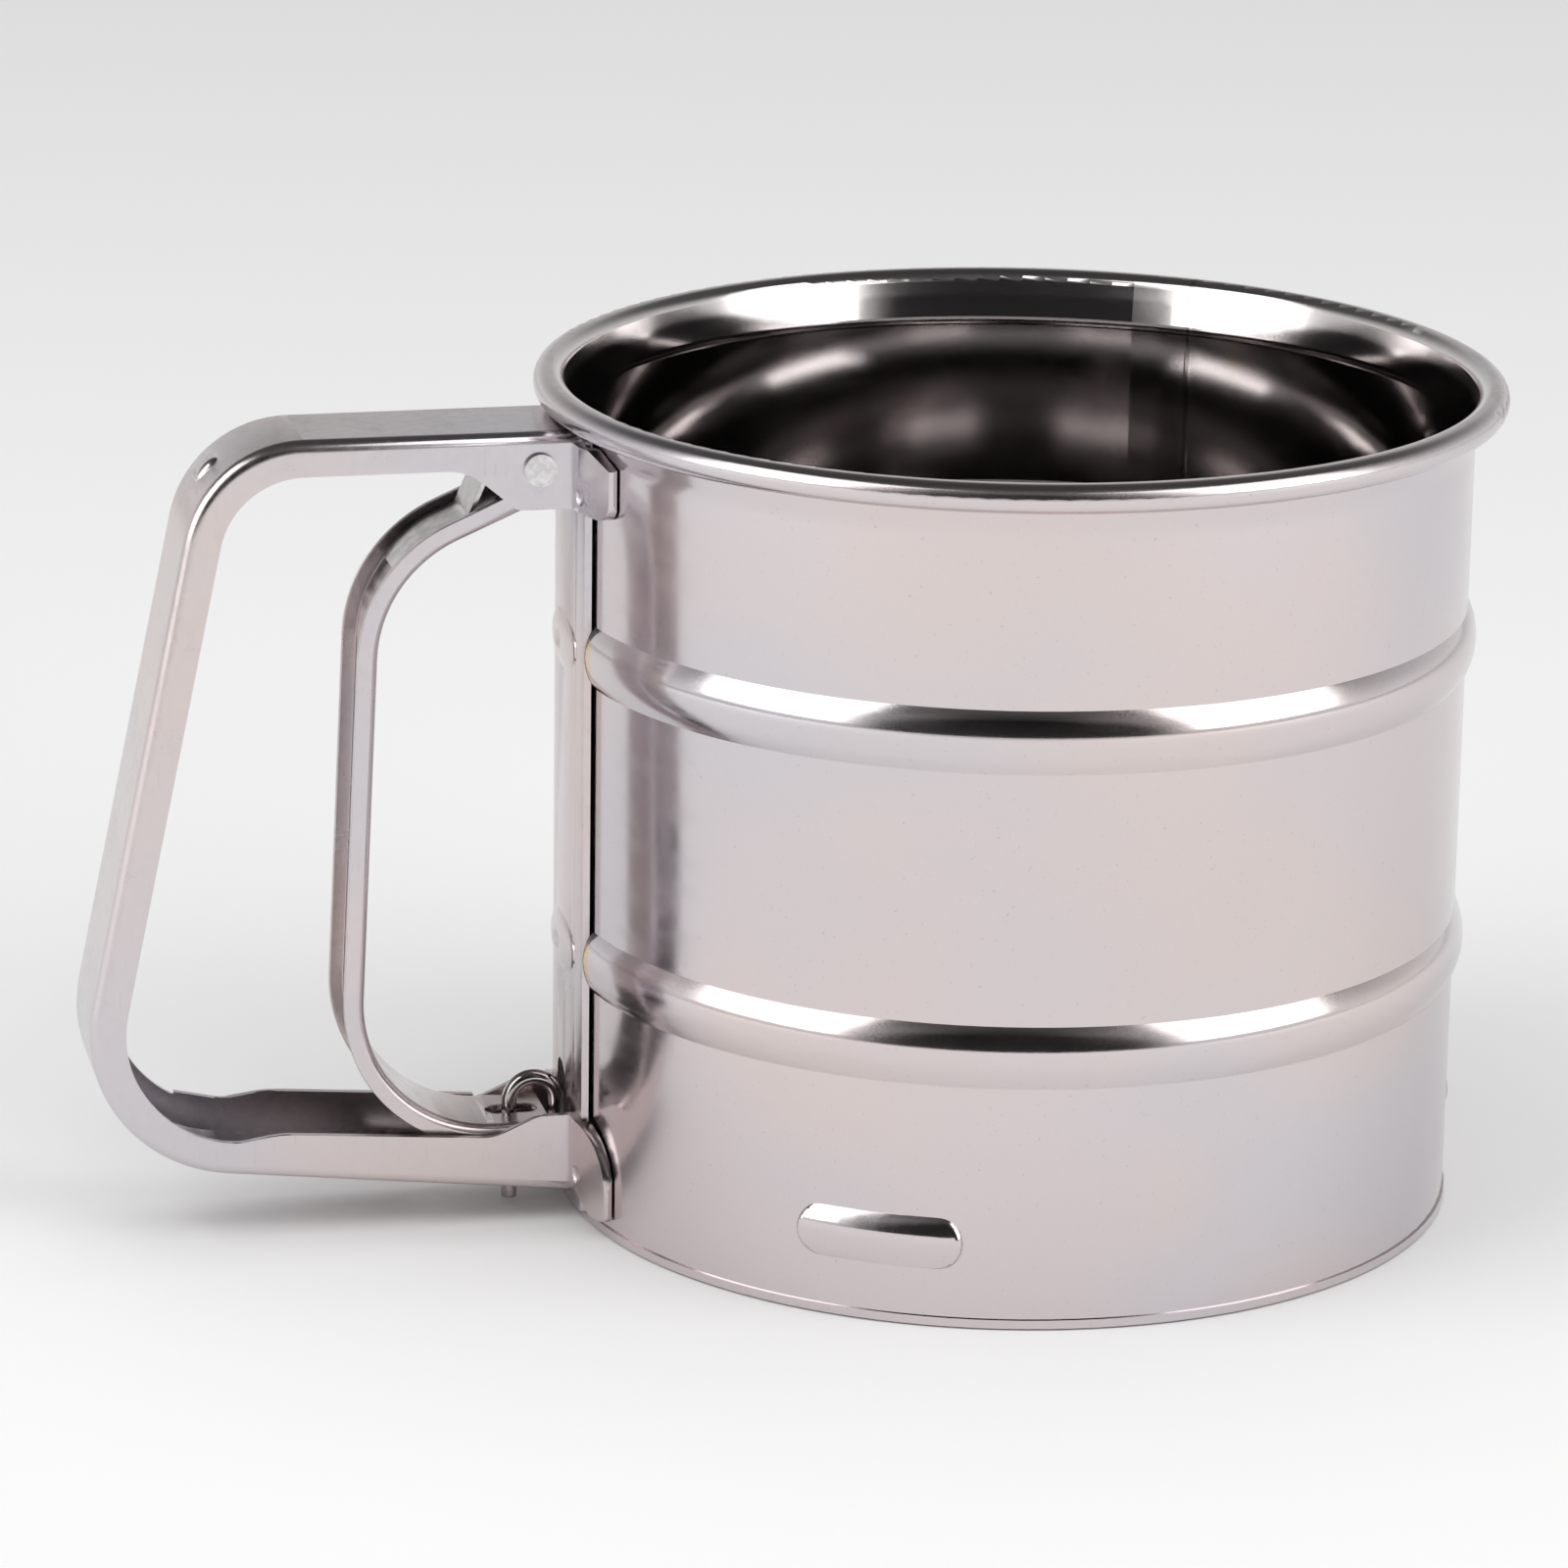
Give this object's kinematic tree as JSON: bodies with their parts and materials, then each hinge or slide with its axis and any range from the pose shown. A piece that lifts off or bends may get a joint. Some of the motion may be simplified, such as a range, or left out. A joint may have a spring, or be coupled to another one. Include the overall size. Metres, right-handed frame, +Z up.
{
  "type": "flour sifter",
  "caption": "Hand-held steel cup sieve with a fixed channel handle, a squeeze trigger, a return leaf and a wire that turns an agitator over a woven sieve.",
  "frame": {"origin": "on the cup's axis in the plane of its lower edge, where it rests", "axes": "+Z up along the cup's axis, +X away from the handle, +Y to the left seen from the handle"},
  "size_m": [0.1501, 0.1018, 0.0887],
  "materials": {
    "steel": "polished stainless steel sheet",
    "rivet": "bright drawn metal",
    "spring": "spring steel strip",
    "wire": "drawn steel wire",
    "mesh": "woven steel wire cloth"
  },
  "bodies": {
    "cup": {"cup_body": "steel", "back_strap": "steel", "handle_channel": "steel", "pivot_rivet": "rivet", "return_spring": "spring", "spider_bracket": "steel", "sieve_mesh": "mesh", "sieve_ring": "steel", "sieve_washer_upper": "rivet", "sieve_washer_lower": "rivet", "centre_pin": "rivet"},
    "trigger": {"trigger_lever": "steel"},
    "link": {"pull_wire": "wire"},
    "agitator": {"agitator_star": "steel", "agitator_bush": "rivet"}
  },
  "joints": [
    {"name": "trigger_squeeze", "type": "hinge", "parent": "cup", "child": "trigger", "pos_m": [-0.0523, 0, 0.08155], "axis": [0, 1, 0], "range_deg": [0, 9.97], "stiffness_Nm_per_rad": 0.6, "springref_deg": -8.59, "deforming": ["return_spring"]},
    {"name": "wire_slide", "type": "slide", "parent": "cup", "child": "link", "axis": [-1, 0, 0], "range_m": [0, 0.0125]},
    {"name": "agitator_turn", "type": "hinge", "parent": "cup", "child": "agitator", "pos_m": [0, 0, 0], "axis": [0, 0, -1], "range_deg": [0, 31.58]}
  ],
  "couplings": [
    {"joint": "wire_slide", "follows": "trigger_squeeze", "m_per_rad": 0.07125},
    {"joint": "agitator_turn", "follows": "trigger_squeeze", "ratio": 3.1568}
  ]
}
